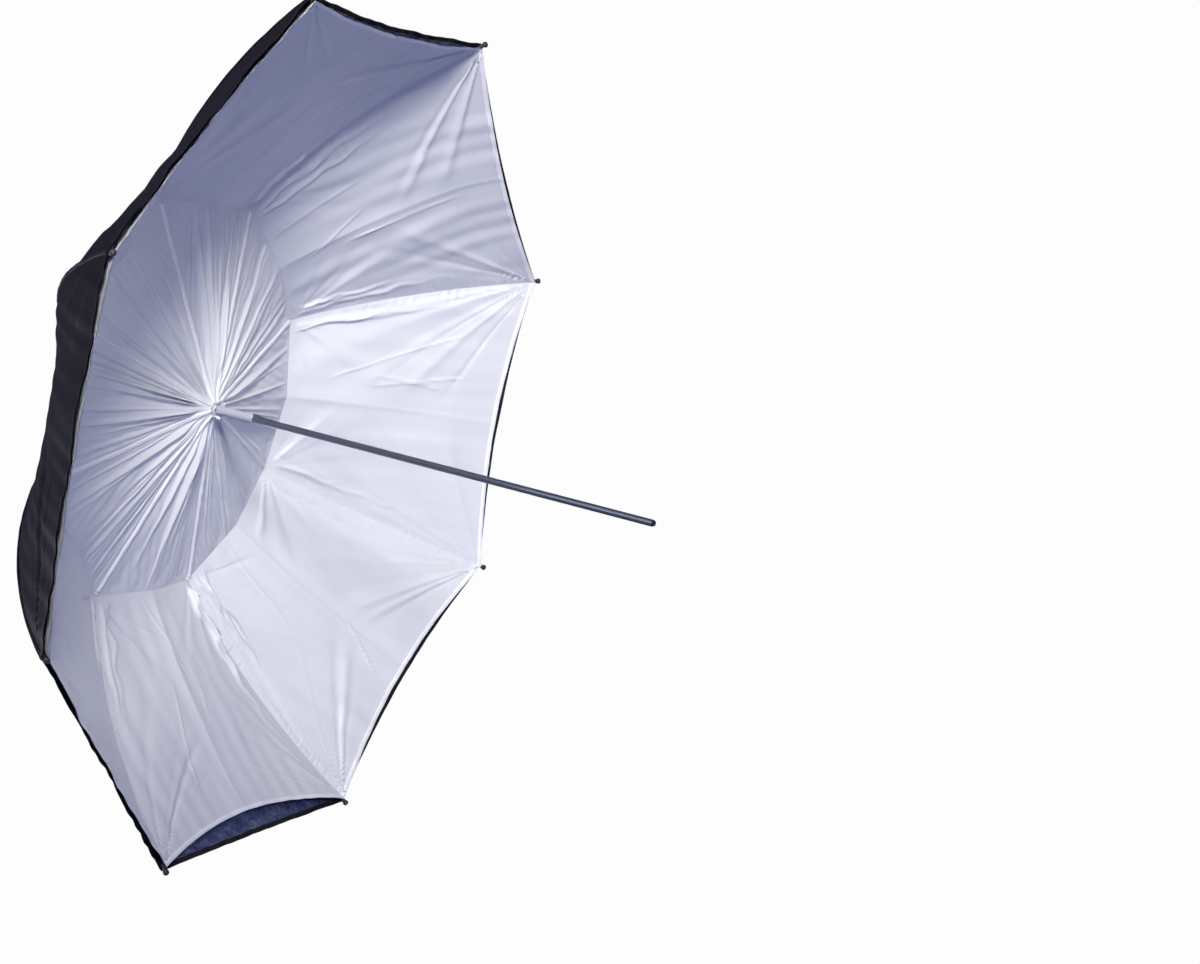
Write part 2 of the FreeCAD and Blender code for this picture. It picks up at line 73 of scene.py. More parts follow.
CROWN = in_plane("rib_1_fold")
KNEE = in_plane("stretcher_1_fold")
HUB = in_plane("runner_turn")
RIB_END = 0.519 + 0.086j
INNER_RADIUS = 0.470

inner_chord = KNEE - CROWN
inner_centre = (CROWN + KNEE) / 2 - 1j * inner_chord / abs(inner_chord) * math.sqrt(
    INNER_RADIUS**2 - abs(inner_chord / 2) ** 2
)
knee_inwards = (inner_centre - KNEE) / INNER_RADIUS
outer_chord = RIB_END - KNEE
OUTER_RADIUS = abs(outer_chord) ** 2 / (2 * (outer_chord * knee_inwards.conjugate()).real)
outer_centre = KNEE + knee_inwards * OUTER_RADIUS
OUTER_LENGTH = abs(outer_chord) * 1.01


def arc(centre, start, end, share):
    """Place and outward normal at a share of the arc from start to end."""
    first, last = np.angle(start - centre), np.angle(end - centre)
    normal = np.exp(1j * (first + (last - first) * share))
    return centre + abs(start - centre) * normal, normal


def rib_line(s):
    """Place and outward normal on a rib: s is 0 at the crown, 1 at the knee and 2 at the rib's end."""
    inner, inner_normal = arc(inner_centre, CROWN, KNEE, s)
    outer, outer_normal = arc(outer_centre, KNEE, RIB_END, s - 1)
    return np.where(s < 1, inner, outer), np.where(s < 1, inner_normal, outer_normal)


def across_gore(plane, v):
    """Carries places of the rib's plane to the straight lines between two ribs: v is -1 and 1 at them."""
    r, z = plane.real, plane.imag
    return np.stack([r * math.cos(HALF), v * r * math.sin(HALF), z], axis=-1)


def turned(points, place):
    """Turns points from the XZ plane to a place around the shaft: 3 is rib 3 and 3.5 the gore after it."""
    angle = TURN * (place - 1)
    c, s = math.cos(angle), math.sin(angle)
    x, y, z = points[..., 0], points[..., 1], points[..., 2]
    return np.stack([c * x - s * y, s * x + c * y, z], axis=-1)


# ---- how cloth wrinkles ------------------------------------------------------------------------------


def ripple(x, y, seed, waves=6):
    """Smooth uneven waves of about unit length and height, the same for a seed each time."""
    rng = np.random.default_rng(seed)
    total = 0
    for _ in range(waves):
        angle, phase = rng.uniform(0, 2 * math.pi, 2)
        pitch = rng.uniform(0.7, 1.5)
        total = total + np.sin(2 * math.pi * pitch * (x * math.cos(angle) + y * math.sin(angle)) + phase)
    return total / math.sqrt(waves)


def rise(x, low, high):
    """0 below low and 1 above high, with a smooth step between."""
    t = np.clip((x - low) / (high - low), 0, 1)
    return t * t * (3 - 2 * t)


# ---- white canopy ------------------------------------------------------------------------------------

CANOPY_GAP = 0.0033
CREASE_DROP = 0.014
HEM_BACK = 0.002
CANOPY_HEM_RISE = {1: 0.017, 2: 0.012, 3: 0.018, 4: 0.020, 5: 0.031, 6: 0.010, 7: 0.012, 8: 0.014}
HEM_ROLL = {1: 0.003, 2: 0.010, 3: -0.002, 4: -0.002, 5: 0, 6: -0.004, 7: -0.004, 8: -0.004}
PLEATS = {1: 0.0018, 2: 0.0030, 3: 0.0030, 4: 0.0018, 5: 0.0056, 6: 0.0030, 7: 0.0012, 8: 0.0012}
SATIN = 0.0004


def pleats(along, beside, seed):
    """Three uneven pleats that run from a stretcher joint beside the rib and fade towards its end."""
    rng = np.random.default_rng(seed)
    total = 0
    for _ in range(3):
        place, slope = rng.uniform(0.007, 0.020), rng.uniform(0.02, 0.09)
        width, length = rng.uniform(0.0022, 0.0042), rng.uniform(0.14, 0.27)
        middle = place + slope * along + 0.003 * ripple(along / 0.07, along / 0.13, rng.integers(999))
        fade = rise(along, 0, 0.02) * (1 - rise(along, 0.4 * length, length))
        total = total + rng.uniform(0.5, 1) * np.exp(-(((beside - middle) / width) ** 2)) * fade
    return total


def tip_fans(along, beside, seed):
    """Tension folds that spread from a rib's end: along the rib from the hem, and beside it."""
    rng = np.random.default_rng(seed)
    reach = np.hypot(along, beside) + 1e-6
    angle = np.arctan2(beside, along + 1e-6)
    total = 0
    for _ in range(7):
        place = rng.uniform(0.04, 1.15)
        width = rng.uniform(0.035, 0.08)
        length = rng.uniform(0.07, 0.19)
        high = rng.uniform(0.5, 1.0) * rng.choice([-0.6, 1.0])
        fold = np.exp(-(((angle - place) / width) ** 2)) * reach / length * np.exp(1 - reach / length)
        total = total + high * fold
    return total


def creases(along, y, seed):
    """Four sharp straight creases, as pressing leaves them in cloth that was long folded."""
    rng = np.random.default_rng(seed)
    total = 0
    for _ in range(4):
        place, slope = rng.uniform(-0.07, 0.07), rng.uniform(-0.45, 0.45)
        first, last = sorted(rng.uniform(0.02, 0.34, 2))
        aside = (y - place - slope * (along - 0.18)) / 0.0022
        ends = rise(along, first, first + 0.03) * (1 - rise(along, last, last + 0.03))
        total = total + np.exp(-(aside**2)) * ends
    return total


def canopy_outside(gore):
    """Surface of a white gore from the stretcher joints to the hem: u runs to the hem, v across."""

    def surface(u, v):
        lean = 1 - v * v
        s = 1 + u * (1 - (HEM_BACK + CANOPY_HEM_RISE[gore] * lean) / OUTER_LENGTH)
        line, normal = rib_line(s)
        plane = line - normal * CANOPY_GAP
        half_wide = plane.real * math.sin(HALF)
        beside = half_wide * (1 - abs(v))
        along = OUTER_LENGTH * (1 - u)
        free = rise(u, 0, 0.06) * rise(beside, 0, 0.012)
        inward = 0.007 * np.sin(math.pi * u) * lean
        calm = rise(abs(v), 0, 0.3)
        for number, own, rib in ((1, v < 0, gore), (2, v >= 0, gore % RIBS + 1)):
            fans = tip_fans(along, beside, 10 * gore + number)
            inward = inward + np.where(own, 0.0021 * fans * calm * free, 0)
            knees = tip_fans(OUTER_LENGTH * u * 1.3, beside, 200 + 10 * gore + number)
            inward = inward + np.where(own, 0.0016 * knees * calm * free, 0)
            folds = pleats(OUTER_LENGTH * u, beside, 400 + 10 * gore + number)
            inward = inward + np.where(own, PLEATS[rib] * folds * free, 0)
        y = v * half_wide
        inward = inward + 0.0013 * np.exp(-abs(y) / 0.004) * rise(u, 0.03, 0.12)
        inward = inward + 0.0009 * creases(along, y, 600 + gore) * free
        inward = inward + 0.0006 * ripple(y / 0.035, along / 0.30, 30 + gore) * free
        inward = inward + 0.0007 * ripple(y / 0.11, along / 0.20, 50 + gore) * free
        pucker = ripple(along / 0.011, beside / 0.05, 70 + gore) * np.exp(-beside / 0.012)
        inward = inward + 0.0005 * pucker * rise(beside, 0, 0.003) * rise(u, 0, 0.03)
        inward = inward + HEM_ROLL[gore] * rise(u, 0.80, 1.05) * lean
        plane = plane - normal * inward - 1j * CREASE_DROP * (1 - abs(v)) * (1 - u) ** 2
        return turned(across_gore(plane, v), gore + 0.5)

    return surface


COLLAR_RADIUS = 0.0084
COLLAR_DIP = 0.0045
COLLAR_DIP_REACH = 0.012
GATHERS = {1: 16, 2: 12, 3: 11, 4: 9, 5: 8, 6: 15, 7: 22, 8: 22}


def funnel_line(u):
    """The canopy's line under a stretcher, from its collar at u 0 to the stretcher joint at u 1. It
    drops a little at the collar, where the cloth is tied to the runner."""
    line, normal = rib_line(np.ones_like(u))
    knee = line - normal * CANOPY_GAP
    start = HUB - 1j * CANOPY_GAP
    radius = COLLAR_RADIUS + (knee.real - COLLAR_RADIUS) * u
    share = (radius - HUB.real) / (knee.real - HUB.real)
    plane = radius + 1j * (start.imag + (knee.imag - start.imag) * share)
    return plane - 1j * COLLAR_DIP * np.exp(-(radius - COLLAR_RADIUS) / COLLAR_DIP_REACH)


def canopy_inside(gore):
    """Surface of a white gore from the runner to the stretcher joints: u runs outwards, v across."""
    rng = np.random.default_rng(90 + gore)
    gathers = [
        (rng.uniform(-0.9, 0.9), rng.uniform(0.025, 0.08), rng.uniform(0.7, 1.6), rng.uniform(0.35, 1.0))
        for _ in range(GATHERS[gore])
    ]

    def surface(u, v):
        plane = funnel_line(u)
        radius = plane.real
        y = v * radius * math.sin(HALF)
        beside = radius * math.sin(HALF) * (1 - abs(v))
        free = rise(beside, 0.001, 0.012) * rise(1 - u, 0, 0.05)
        fold = 0
        for place, width, reach, high in gathers:
            spread = width * (1.2 - 0.75 * u)
            fold = fold + high * np.exp(-(((v - place) / spread) ** 2)) * (1 - rise(u, 0.25 * reach, reach))
        size = 0.0009 + 0.0042 * rise(radius, 0.014, 0.06)
        down = size * (fold - 0.25) * free
        down = down + 0.0012 * ripple(v / 0.5, radius / 0.14, 130 + gore) * free * u
        down = down + 0.0004 * ripple(y / 0.012, radius / 0.05, 150 + gore) * free
        plane = plane - 1j * (down + CREASE_DROP * (1 - abs(v)) * u)
        return turned(across_gore(plane, v), gore + 0.5)

    return surface


# ---- black cover -------------------------------------------------------------------------------------

COVER_GAP = 0.0036
COVER_SAG = 0.010
NYLON = 0.0005
COVER_HEM_RISE = {1: 0.014, 2: 0.008, 3: 0.013, 4: 0.014, 5: 0.002, 6: 0.009, 7: 0.012, 8: 0.014}


def cover_surface(gore):
    """Surface of a black gore from the patch to the hem: u is 0 at the crown, 1 at the knee, 2 at the hem."""

    def surface(u, v):
        lean = 1 - v * v
        back = (HEM_BACK + COVER_HEM_RISE[gore] * lean) / OUTER_LENGTH
        s = np.where(u > 1, 1 + (u - 1) * (1 - back), u)
        line, normal = rib_line(s)
        half_wide = line.real * math.sin(HALF)
        beside = half_wide * (1 - abs(v))
        along = OUTER_LENGTH * (2 - u)
        inward = COVER_SAG * lean * np.where(u < 1, np.sin(math.pi / 2 * np.clip(u, 0, 1)), 2 - u)
        inward = inward + 0.3 * COVER_SAG * lean * np.sin(math.pi * np.clip(u - 1, 0, 1))
        free = rise(beside, 0, 0.02) * rise(u, 0.1, 0.4)
        y = v * half_wide
        inward = inward + 0.0010 * ripple(y / 0.10, along / 0.14, 230 + gore) * free
        inward = inward + 0.0006 * ripple(y / 0.030, along / 0.20, 250 + gore) * free
        calm = rise(abs(v), 0, 0.3)
        for number in (1, 2):
            fans = tip_fans(along, beside, 270 + 10 * gore + number)
            inward = inward + np.where((v < 0) == (number == 1), 0.0014 * fans * calm * free, 0)
        pucker = ripple(along / 0.012, beside / 0.05, 290 + gore) * np.exp(-beside / 0.010)
        inward = inward + 0.0004 * pucker * rise(beside, 0, 0.003)
        plane = line + normal * (COVER_GAP - inward)
        return turned(across_gore(plane, v), gore + 0.5)

    return surface


# ---- seams and hems ----------------------------------------------------------------------------------

# how far apart the two places are, in u or v, that give a surface's slope
SLOPE_STEP = 1e-4


def welt(line, rib, wide, high, seed):
    """A raised stitched seam along a line of the rib's plane that line(u) gives with its normal: the
    cloth is doubled there and puckers between the stitches."""

    def surface(u, v):
        place, normal = line(u)
        x = place.real
        swell = 1 + 0.12 * ripple(x / 0.025, 0 * x, seed) * (x > 0.03)
        narrow = np.minimum(wide, 0.30 * TURN * x)
        y = v * narrow / 2 * (1 + 0.15 * ripple(x / 0.035, v, seed + 1))
        y = y + 0.0007 * ripple(x / 0.12, 0 * x, seed + 2) * rise(x, 0.03, 0.06)
        ridges = (1 - v * v) * (1 + 0.5 * np.cos(math.pi * (2 * v + 1)))
        place = place + normal * (high * swell * ridges - 0.0004 * v * v)
        return turned(np.stack([place.real, y, place.imag], axis=-1), rib)

    return surface


def rib_seam(gap, inside, share=(0, 1)):
    """The line of a seam on a rib, from a share u of 0 to 1, at a gap inside or outside the frame."""

    def line(u):
        place, normal = rib_line(share[0] + u * (share[1] - share[0]))
        side = -normal if inside else normal
        return place + side * gap, side

    return line


def stretcher_seam(u):
    """The line of the white seam under a stretcher, and the way it faces."""
    return funnel_line(u) - 1j * SATIN, -1j


def raised(surface, lift):
    """A strip that lies on a surface, lifted towards a side by lift(u, v)."""

    def strip(u, v):
        slope_u = surface(u + SLOPE_STEP, v) - surface(u - SLOPE_STEP, v)
        slope_v = surface(u, v + SLOPE_STEP) - surface(u, v - SLOPE_STEP)
        normal = np.cross(slope_u, slope_v)
        normal = normal / np.linalg.norm(normal, axis=1)[:, None]
        return surface(u, v) + normal * lift(u, v)[:, None]

    return strip


# ---- making pieces -----------------------------------------------------------------------------------


def finish_piece(bm, name, materials):
    """Turns a bmesh into a shaded object at the origin."""
    mesh = bpy.data.meshes.new(name)
    bm.to_mesh(mesh)
    bm.free()
    for material in materials:
        mesh.materials.append(material)
    mesh.shade_smooth()
    piece = bpy.data.objects.new(name, mesh)
    bpy.context.collection.objects.link(piece)
    return piece


def corner_normals(mesh, normals):
    """Gives every face corner its point's own normal, so that neighbouring pieces shade as one cloth."""
    loops = np.empty(len(mesh.loops), int)
    mesh.loops.foreach_get("vertex_index", loops)
    mesh.normals_split_custom_set(normals[loops].tolist())


# the weave's scale: about the length in metres of u from 0 to 1 on a gore, and only rough on the
# funnel and the seams
UV_REACH = 0.35


def cloth(name, surface, along, across, cells, thick, materials):
    """A thin closed sheet: a flat slab of cells that surface(u, v) carries to its place, its first
    material on the side that the surface's normal points to and its second on the other."""
    bm = bmesh.new()
    bmesh.ops.create_grid(bm, x_segments=cells[0], y_segments=cells[1], size=0.5)
    made = bmesh.ops.extrude_face_region(bm, geom=bm.faces[:], use_keep_orig=True)
    lower = [item for item in made["geom"] if isinstance(item, bmesh.types.BMVert)]
    bmesh.ops.translate(bm, verts=lower, vec=(0, 0, -1))
    bmesh.ops.recalc_face_normals(bm, faces=bm.faces[:])
    for face in bm.faces:
        face.material_index = int(face.calc_center_median().z < -0.9 and len(materials) > 1)
    piece = finish_piece(bm, name, materials)
    mesh = piece.data
    flat = np.empty(len(mesh.vertices) * 3)
    mesh.vertices.foreach_get("co", flat)
    flat = flat.reshape(-1, 3)
    u = along[0] + (flat[:, 0] + 0.5) * (along[1] - along[0])
    v = across[0] + (flat[:, 1] + 0.5) * (across[1] - across[0])
    step_u = SLOPE_STEP * np.sign(along[1] - along[0])
    step_v = SLOPE_STEP * np.sign(across[1] - across[0])
    slope_u = surface(u + step_u, v) - surface(u - step_u, v)
    slope_v = surface(u, v + step_v) - surface(u, v - step_v)
    normal = np.cross(slope_u, slope_v)
    normal /= np.linalg.norm(normal, axis=1)[:, None]
    place = surface(u, v) + normal * (flat[:, 2] * thick)[:, None]
    mesh.vertices.foreach_set("co", place.ravel())
    uv = mesh.uv_layers.new(name="Cloth")
    loops = np.empty(len(mesh.loops), int)
    mesh.loops.foreach_get("vertex_index", loops)
    uv.data.foreach_set("uv", np.stack([u[loops] * UV_REACH, v[loops] * UV_REACH / 2], axis=1).ravel())
    mesh.update()
    corner_normals(mesh, np.where(flat[:, 2:] > -0.5, normal, -normal))
    return piece


def edge_lengths(surface, along, across):
    """The sheet's greatest width, its mean length and its area, along a coarse grid of its surface, so
    fine gathers aren't counted in full."""
    u = np.linspace(*along, 25)
    v = np.linspace(*across, 9)
    grid = surface(*np.meshgrid(u, v, indexing="ij"))
    wide = np.linalg.norm(np.diff(grid, axis=1), axis=2).sum(axis=1)
    long = np.linalg.norm(np.diff(grid, axis=0), axis=2).sum(axis=0)
    return wide.max(), long.mean(), wide.mean() * long.mean()


def belongs(piece, body, node):
    """Hangs a piece of cloth on the body it rides and hides the node it stands for."""
    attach(piece, body)
    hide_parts(node)


def declare(surface, along, across):
    wide, long, area = edge_lengths(surface, along, across)


# ---- where the ribs come when the frame folds, and cloth meshes of their own -------------------------


def closed_radius(line):
    """How far from the shaft a place of the rib comes when the frame is folded."""
    return ((line - CROWN) * np.exp(-1j * FOLD_ANGLE)).real + CROWN.real


def gather(piece, s, keep_share):
    """Gives a half gore its own mesh and finds the rib's place and normal at s, but doesn't squash the cloth
    as the frame folds. keep_share, the closed width over the open one, is not used."""
    line, normal = rib_line(np.array(s, float))
    line, normal = complex(line), complex(normal)
    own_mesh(piece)


def gather_funnel(piece):
    """Gives the half of the funnel beside a stretcher its own mesh; it doesn't squash it as the frame folds.
    """
    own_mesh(piece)


# ---- materials ---------------------------------------------------------------------------------------


def colour(hex_code):
    """An sRGB hex colour as the linear one that shaders read."""
    parts = [int(hex_code[i : i + 2], 16) / 255 for i in (1, 3, 5)]
    linear = [c / 12.92 if c <= 0.04045 else ((c + 0.055) / 1.055) ** 2.4 for c in parts]
    return (*linear, 1)


def add(tree, kind, links=None, **settings):
    """Adds a node, sets its properties or unlinked sockets by name, and links other sockets to it."""
    node = tree.nodes.new("ShaderNode" + kind)
    for name, value in settings.items():
        socket = node.inputs.get(name.replace("_", " ").title())
        if socket:
            socket.default_value = value
        else:
            setattr(node, name, value)
    for socket, source in (links or {}).items():
        tree.links.new(source, node.inputs[socket])
    return node


def surface_material(name, **settings):
    """A material with one Principled shader, its tree and that shader."""
    material = bpy.data.materials.new(name)
    material.use_nodes = True
    tree = material.node_tree
    tree.nodes.clear()
    shader = add(tree, "BsdfPrincipled")
    for socket, value in settings.items():
        shader.inputs[socket.replace("_", " ").title().replace("Ior", "IOR")].default_value = value
    add(tree, "OutputMaterial", {"Surface": shader.outputs["BSDF"]})
    return material, tree, shader


def between(tree, factor, first, second):
    """A colour that a pattern moves between two hex colours."""
    mix = add(tree, "Mix", data_type="RGBA")
    tree.links.new(factor, mix.inputs["Factor"])
    mix.inputs["A"].default_value = colour(first)
    mix.inputs["B"].default_value = colour(second)
    return mix.outputs["Result"]


def woven(name, light, dark, thread, strength, **settings):
    """Cloth with crossing threads of a size in metres, slightly uneven in tone."""
    material, tree, shader = surface_material(name, **settings)
    place = add(tree, "TexCoord")
    warp = add(tree, "TexWave", {"Vector": place.outputs["UV"]}, bands_direction="X", scale=0.314 / thread)
    weft = add(tree, "TexWave", {"Vector": place.outputs["UV"]}, bands_direction="Y", scale=0.314 / thread)
    weave = add(tree, "Math", {0: warp.outputs["Fac"], 1: weft.outputs["Fac"]}, operation="ADD")
    crumple = add(tree, "TexNoise", {"Vector": place.outputs["Object"]}, scale=55.0, detail=4.0)
    both = add(tree, "Math", {0: weave.outputs[0], 2: crumple.outputs["Fac"]}, operation="MULTIPLY_ADD")
    both.inputs[1].default_value = 0.12
    bump = add(tree, "Bump", {"Height": both.outputs[0]}, strength=strength, distance=0.0012)
    tree.links.new(bump.outputs["Normal"], shader.inputs["Normal"])
    tone = add(tree, "TexNoise", {"Vector": place.outputs["Object"]}, scale=9.0, detail=3.0)
    tree.links.new(between(tree, tone.outputs["Fac"], light, dark), shader.inputs["Base Color"])
    return material


def canopy_satin():
    # white polyester satin: its long floats give a soft silky gloss over a slightly cool white
    gloss = {"roughness": 0.40, "sheen_weight": 0.12, "sheen_roughness": 0.4}
    return woven("white_satin", "#e6e7ea", "#d6d8df", 0.0009, 0.22, **gloss)


def seam_satin():
    # the same satin folded double and stitched down, so it is whiter and lies less flat
    return woven("satin_seam", "#fbfbfd", "#eeeef4", 0.0012, 0.4, roughness=0.36, sheen_weight=0.2)


def cover_nylon():
    # black coated nylon: matt with a faint brown cast and a soft sheen where it turns away
    return woven("black_nylon", "#221a1b", "#171214", 0.0011, 0.25, roughness=0.6, specular_ior_level=0.12)


def cover_tape():
    # black polyester binding tape along the hem, ribbed and a little glossier than the cover
    return woven("black_binding", "#1d1b20", "#131216", 0.0016, 0.5, roughness=0.55, specular_ior_level=0.2)


def silver_lining():
    # aluminised film on the cover's inside, crinkled into small facets: real metal gloss, with its colour run
    # between dark navy and pale blue-silver as a painted reflection of dark blue surroundings
    material, tree, shader = surface_material("silver_film_painted_reflection", metallic=0.85, roughness=0.3)
    place = add(tree, "TexCoord")
    facets = add(tree, "TexVoronoi", {"Vector": place.outputs["Object"]}, feature="SMOOTH_F1", scale=70.0)
    waves = add(tree, "TexNoise", {"Vector": place.outputs["Object"]}, scale=120.0, detail=5.0)
    both = add(tree, "Math", {0: facets.outputs["Distance"], 1: waves.outputs["Fac"]}, operation="ADD")
    bump = add(tree, "Bump", {"Height": both.outputs[0]}, strength=0.9, distance=0.004)
    tree.links.new(bump.outputs["Normal"], shader.inputs["Normal"])
    # painted reflection: the noise moves the film's colour between dark navy and pale blue-silver
    tone = between(tree, waves.outputs["Fac"], "#1a2148", "#98a3c8")
    tree.links.new(tone, shader.inputs["Base Color"])
    return material


def drawn_steel(name, light, dark, roughness, along, lacquer=0.0):
    """Metal with fine lines along one axis, as drawing or brushing leaves them."""
    material, tree, shader = surface_material(name, metallic=1 - lacquer, roughness=roughness)
    place = add(tree, "TexCoord")
    stretch = add(tree, "Mapping", {"Vector": place.outputs["Object"]}, scale=along)
    lines = add(tree, "TexNoise", {"Vector": stretch.outputs["Vector"]}, scale=1.0, detail=3.0)
    bump = add(tree, "Bump", {"Height": lines.outputs["Fac"]}, strength=0.12, distance=0.0004)
    tree.links.new(bump.outputs["Normal"], shader.inputs["Normal"])
    tree.links.new(between(tree, lines.outputs["Fac"], light, dark), shader.inputs["Base Color"])
    return material


def moulded(name, light, dark, roughness):
    """Moulded plastic with a fine eroded grain of about 0.6 mm."""
    material, tree, shader = surface_material(name, roughness=roughness)
    place = add(tree, "TexCoord")
    grain = add(tree, "TexNoise", {"Vector": place.outputs["Object"]}, scale=1600.0, detail=2.0)
    bump = add(tree, "Bump", {"Height": grain.outputs["Fac"]}, strength=0.2, distance=0.0002)
    tree.links.new(bump.outputs["Normal"], shader.inputs["Normal"])
    tree.links.new(between(tree, grain.outputs["Fac"], light, dark), shader.inputs["Base Color"])
    return material


satin = canopy_satin()
satin_seam = seam_satin()
nylon = cover_nylon()
binding = cover_tape()
film = silver_lining()
# chromed steel tube, drawn along its length: grey with a sharp bright line
tube_steel = drawn_steel("chromed_steel_tube", "#a3a7ac", "#85898f", 0.36, (900, 900, 25))
# black lacquer over pressed steel: satin black with faint press marks
black_steel = drawn_steel("black_lacquered_steel", "#1b1b1d", "#111113", 0.36, (300, 300, 300), lacquer=1.0)
# bright drawn spring wire
spring_steel = drawn_steel("spring_steel", "#b9bbbd", "#9b9da0", 0.28, (700, 700, 700))
# dark grey nylon mouldings on the rib ends
tip_nylon = moulded("dark_nylon_moulding", "#3a393c", "#2b2a2d", 0.42)
black_plastic = moulded("black_plastic_moulding", "#1c1c1e", "#131315", 0.4)
# white plastic of the runner and collar, coloured a darker bluish grey: painted shade
plastic_white_painted_shade = moulded("moulded_white_painted_shade", "#b4b6c4", "#a2a5b5", 0.38)

# ---- the canopy's pieces -----------------------------------------------------------------------------


def half_gore(rib, side):
    """The gore that a rib shares with its neighbour on that side, and the half of v that is the rib's."""
    if side == "right":
        return rib, (-1, 0)
    return (rib - 2) % RIBS + 1, (0, 1)


def into_bowl(across):
    """The same stretch of v from its high end, so that a sheet's first side faces into the bowl."""
    return across[1], across[0]


def hub_frill(u, v):
    """The canopy's gathered edge at its collar: u runs outwards and v once round the shaft."""
    angle = 2 * math.pi * v
    ruffle = np.cos(23 * angle + 1.6 * np.sin(5 * angle)) + 0.5 * np.cos(14 * angle + 2)
    radius = 0.0066 + 0.0042 * u + 0.0010 * u * ruffle
    height = 0.2441 - 0.0050 * u + 0.0009 * u * np.sin(9 * angle)
    return np.stack([radius * np.cos(angle), radius * np.sin(angle), height], axis=-1)


HEM = (0.984, 1.002)
CANOPY_BANDS = ((0, 0.3), (0.3, 1))
WELT = 0.0060
# ribs where the canopy is bunched along its seam: how wide and how high
BOLD_SEAMS = {1: (0.008, 0.003), 2: (0.010, 0.0042), 5: (0.012, 0.0040), 6: (0.009, 0.0034)}


def make_canopy(rib):
    """The white canopy beside a rib: outside its stretcher joint, and from the runner to the joint."""
    wide, high = BOLD_SEAMS.get(rib, (WELT, 0.0022))
    rib_line_seam = welt(rib_seam(CANOPY_GAP + SATIN, True), rib, wide, high, 500 + rib)
    seam = cloth(f"canopy_seam_{rib}", rib_line_seam, (0, 0.995), (1, -1), (170, 8), SATIN, [satin_seam])
    belongs(seam, f"rib_{rib}", f"canopy_panel_{rib}")
    funnel_line_seam = welt(stretcher_seam, rib, WELT, 0.0018, 520 + rib)
    name = f"canopy_funnel_seam_{rib}"
    funnel_seam = cloth(name, funnel_line_seam, (0, 0.975), (1, -1), (127, 8), SATIN, [satin_seam])
    belongs(funnel_seam, f"stretcher_{rib}", f"canopy_cone_{rib}")
    if rib == 1:
        frill = cloth("canopy_frill", hub_frill, (0, 1), (1, 0), (6, 300), SATIN, [satin_seam])
        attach(frill, "runner")
    for side, sign in (("right", 1), ("left", -1)):
        gore, half = half_gore(rib, side)
        across = into_bowl(half)
        outside = canopy_outside(gore)
        folded_hem = raised(outside, lambda u, v: -0.0007 - 0.0005 * np.sin(math.pi * (u - HEM[0]) / 0.018))
        hem = cloth(f"canopy_hem_{rib}_{side}", folded_hem, HEM, across, (6, 56), 0.0012, [satin_seam])
        belongs(hem, f"rib_{rib}", f"canopy_panel_{rib}")
        gather(hem, 1.6, 0.05)
        for number, along in enumerate(CANOPY_BANDS, start=1):
            cells = (round(110 * (along[1] - along[0])), 56)
            piece = cloth(f"canopy_{rib}_{side}_{number}", outside, along, across, cells, SATIN, [satin])
            belongs(piece, f"rib_{rib}", f"canopy_panel_{rib}")
            gather(piece, 1.12 if number == 1 else 1.6, 0.05)
            declare(outside, along, across)

        inside = canopy_inside(gore)
        funnel = cloth(f"canopy_funnel_{rib}_{side}", inside, (0, 1), across, (120, 48), SATIN, [satin])
        belongs(funnel, f"stretcher_{rib}", f"canopy_cone_{rib}")
        gather_funnel(funnel)
        declare(inside, (0, 1), across)


COVER_BANDS = (0.04, 0.25, 0.6, 1.0, 1.2, 1.4, 1.6, 1.8, 2.0)
TAPE = (1.986, 2.003)


def closed_share(s):
    """A gore's width at s when the frame is folded, over its open width."""
    line = complex(rib_line(np.array(s, float))[0])
    return closed_radius(line) / line.real


def make_cover(rib):
    """The black cover beside a rib, in bands from crown to hem."""
    rib_line_seam = welt(rib_seam(COVER_GAP, False, (0.05, 1.99)), rib, 0.0060, 0.0010, 600 + rib)
    seam = cloth(f"cover_seam_{rib}", rib_line_seam, (0, 1), (-1, 1), (220, 8), NYLON, [binding])
    belongs(seam, f"rib_{rib}", f"cover_panel_{rib}")
    for side, sign in (("right", 1), ("left", -1)):
        gore, across = half_gore(rib, side)
        surface = cover_surface(gore)
        folded_tape = raised(surface, lambda u, v: 0.0006 + 0 * u)
        tape = cloth(f"cover_hem_{rib}_{side}", folded_tape, TAPE, across, (5, 40), 0.0017, [binding])
        belongs(tape, f"rib_{rib}", f"cover_panel_{rib}")
        gather(tape, 1.9, closed_share(1.8))
        for number, along in enumerate(zip(COVER_BANDS, COVER_BANDS[1:]), start=1):
            name = f"cover_{rib}_{side}_{number}"
            rows = max(8, round((along[1] - along[0]) * 75))
            piece = cloth(name, surface, along, across, (rows, 32), NYLON, [nylon, film])
            belongs(piece, f"rib_{rib}", f"cover_panel_{rib}")
            gather(piece, sum(along) / 2, closed_share(along[0]))
            declare(surface, along, across)


PATCH_STITCHES = 60
PATCH_EDGE = (0.0235, 0, 0.36505)
STITCH_SIZE = (0.0006, 0.0016, 0.0005)


def make_patch_stitches():
    """Stitches round the patch on the cover's centre."""
    bm = bmesh.new()
    stitch = Matrix.Translation(PATCH_EDGE) @ Matrix.Diagonal((*STITCH_SIZE, 1))
    for number in range(PATCH_STITCHES):
        place = Matrix.Rotation(2 * math.pi * number / PATCH_STITCHES, 4, "Z") @ stitch
        bmesh.ops.create_cube(bm, size=1, matrix=place)
    ring = finish_piece(bm, "patch_stitches", [binding])
    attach(ring, "root")


for rib in range(1, RIBS + 1):
    make_canopy(rib)
    make_cover(rib)
make_patch_stitches()

# ---- metal and plastic parts as the design has them ----------------------------------------------------

